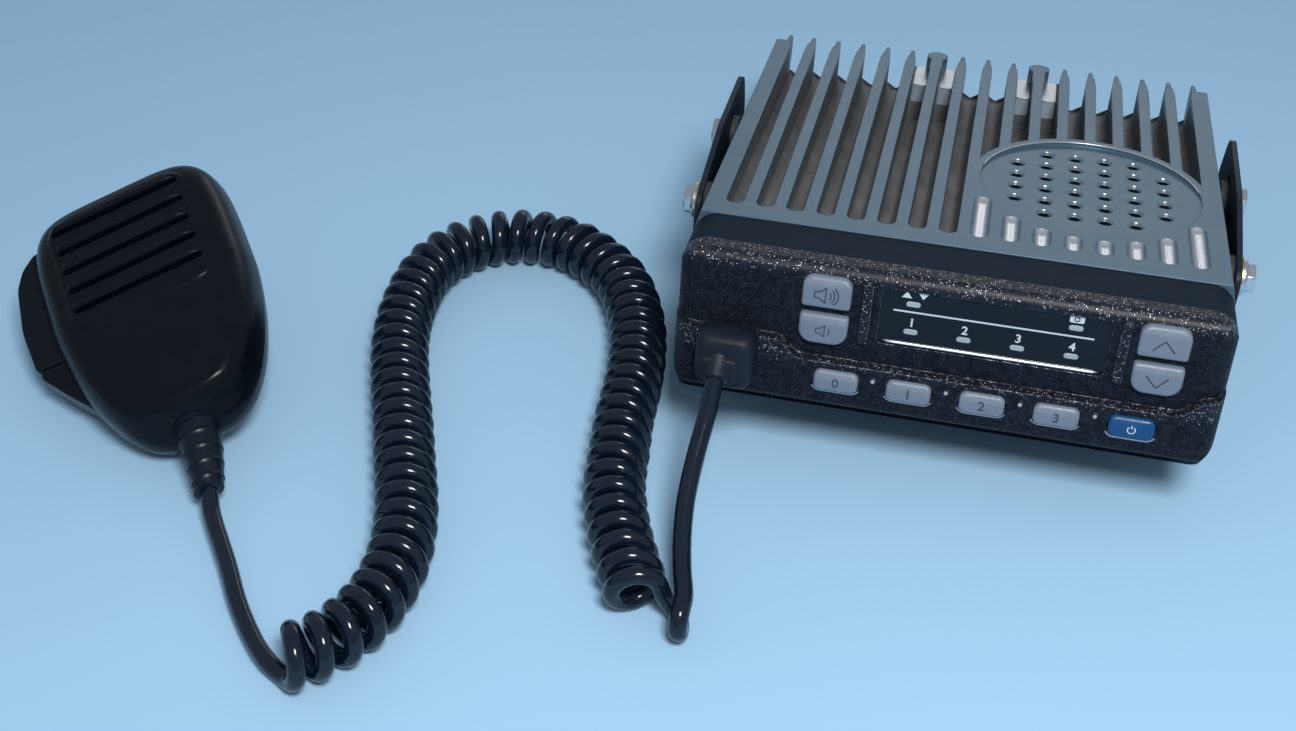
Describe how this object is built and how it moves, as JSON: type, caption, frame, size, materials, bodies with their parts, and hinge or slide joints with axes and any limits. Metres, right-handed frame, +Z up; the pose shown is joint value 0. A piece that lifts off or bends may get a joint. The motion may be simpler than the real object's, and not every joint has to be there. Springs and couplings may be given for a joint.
{
  "type": "mobile transceiver",
  "caption": "Finned mobile radio transceiver tilted in a U-shaped steel bracket, with front keys, smoked window and a hand microphone on a curly cord.",
  "frame": {"origin": "on the table under the middle of the bracket's base, at the centre of its screw holes", "axes": "+Z up, +X to the right seen from the front, the front panel faces -Y"},
  "size_m": [0.3633, 0.2994, 0.0674],
  "materials": {
    "chassis": "satin blue-grey paint on die-cast metal",
    "cover": "satin paint",
    "screw": "plated",
    "bolt": "bright plated",
    "housing": "smooth, blue-black",
    "bezel": "spark-textured black",
    "window": "smoked gloss",
    "light": "translucent grey",
    "key": "satin light grey",
    "power_key": "satin blue",
    "mat": "silicone",
    "board": "green laminate",
    "jack": "matte black",
    "module": "plain",
    "can": "tinned",
    "speaker": "plated",
    "cone": "pressed paper",
    "magnet": "ferrite",
    "socket": "nickel plated",
    "inlet": "ivory nylon",
    "bracket": "black powder coat",
    "fibre": "fibre",
    "brass": "plain",
    "boot": "matte black",
    "plug": "clear moulding",
    "cord": "satin black jacket",
    "mic": "satin black",
    "ptt": "satin black",
    "hanger": "plated"
  },
  "bodies": {
    "radio": {"heatsink_chassis": "chassis", "bottom_cover": "cover", "bottom_screws": "screw", "panel_screws": "screw", "board_screws": "screw", "mic_screws": "screw", "ptt_pin": "screw", "pivot_bolts": "bolt", "slot_bolts": "bolt", "front_housing": "housing", "front_bezel": "bezel", "display_window": "window", "indicator_lights": "light", "keypad_mat": "mat", "front_board": "board", "main_board": "board", "mic_board": "board", "microphone_jack": "jack", "speaker_jack": "jack", "ptt_switch": "jack", "power_module": "module", "shield_can": "can", "mic_capsule": "can", "speaker_frame": "speaker", "speaker_cone": "cone", "speaker_magnet": "magnet", "antenna_socket": "socket", "power_inlet": "inlet", "friction_washers": "fibre", "spring_washers": "brass", "plug_boot": "boot", "mic_strain_relief": "boot", "modular_plug": "plug", "radio_lead": "cord", "curly_cord": "cord", "microphone_lead": "cord", "mic_front_shell": "mic", "mic_rear_shell": "mic", "hanger_button": "hanger"},
    "bracket": {"mounting_bracket": "bracket"},
    "volume_up_key": {"volume_up_key": "key"},
    "volume_down_key": {"volume_down_key": "key"},
    "channel_up_key": {"channel_up_key": "key"},
    "channel_down_key": {"channel_down_key": "key"},
    "function_key_0": {"function_key_0": "key"},
    "function_key_1": {"function_key_1": "key"},
    "function_key_2": {"function_key_2": "key"},
    "function_key_3": {"function_key_3": "key"},
    "power_key": {"power_key": "power_key"},
    "talk_key": {"ptt_key": "ptt"}
  },
  "joints": [
    {"name": "bracket_tilt", "type": "hinge", "parent": "radio", "child": "bracket", "pos_m": [0, -0.02, 0.049], "axis": [1, 0, 0], "range_deg": [-8, 5]},
    {"name": "volume_up_press", "type": "slide", "parent": "radio", "child": "volume_up_key", "axis": [0, 0.9903, -0.1392], "range_m": [0, 0.0008], "stiffness_N_per_m": 1500, "springref_m": -0.0003},
    {"name": "volume_down_press", "type": "slide", "parent": "radio", "child": "volume_down_key", "axis": [0, 0.9903, -0.1392], "range_m": [0, 0.0008], "stiffness_N_per_m": 1500, "springref_m": -0.0003},
    {"name": "channel_up_press", "type": "slide", "parent": "radio", "child": "channel_up_key", "axis": [0, 0.9903, -0.1392], "range_m": [0, 0.0008], "stiffness_N_per_m": 1500, "springref_m": -0.0003},
    {"name": "channel_down_press", "type": "slide", "parent": "radio", "child": "channel_down_key", "axis": [0, 0.9903, -0.1392], "range_m": [0, 0.0008], "stiffness_N_per_m": 1500, "springref_m": -0.0003},
    {"name": "function_0_press", "type": "slide", "parent": "radio", "child": "function_key_0", "axis": [0, 0.9903, -0.1392], "range_m": [0, 0.0008], "stiffness_N_per_m": 1500, "springref_m": -0.0003},
    {"name": "function_1_press", "type": "slide", "parent": "radio", "child": "function_key_1", "axis": [0, 0.9903, -0.1392], "range_m": [0, 0.0008], "stiffness_N_per_m": 1500, "springref_m": -0.0003},
    {"name": "function_2_press", "type": "slide", "parent": "radio", "child": "function_key_2", "axis": [0, 0.9903, -0.1392], "range_m": [0, 0.0008], "stiffness_N_per_m": 1500, "springref_m": -0.0003},
    {"name": "function_3_press", "type": "slide", "parent": "radio", "child": "function_key_3", "axis": [0, 0.9903, -0.1392], "range_m": [0, 0.0008], "stiffness_N_per_m": 1500, "springref_m": -0.0003},
    {"name": "power_press", "type": "slide", "parent": "radio", "child": "power_key", "axis": [0, 0.9903, -0.1392], "range_m": [0, 0.0008], "stiffness_N_per_m": 1500, "springref_m": -0.0003},
    {"name": "talk_press", "type": "hinge", "parent": "radio", "child": "talk_key", "pos_m": [-0.24762, -0.09848, 0.01244], "axis": [-0.122, -0.4064, 0.9055], "range_deg": [-2.6, 0], "stiffness_Nm_per_rad": 1.5, "springref_deg": 1.72}
  ]
}
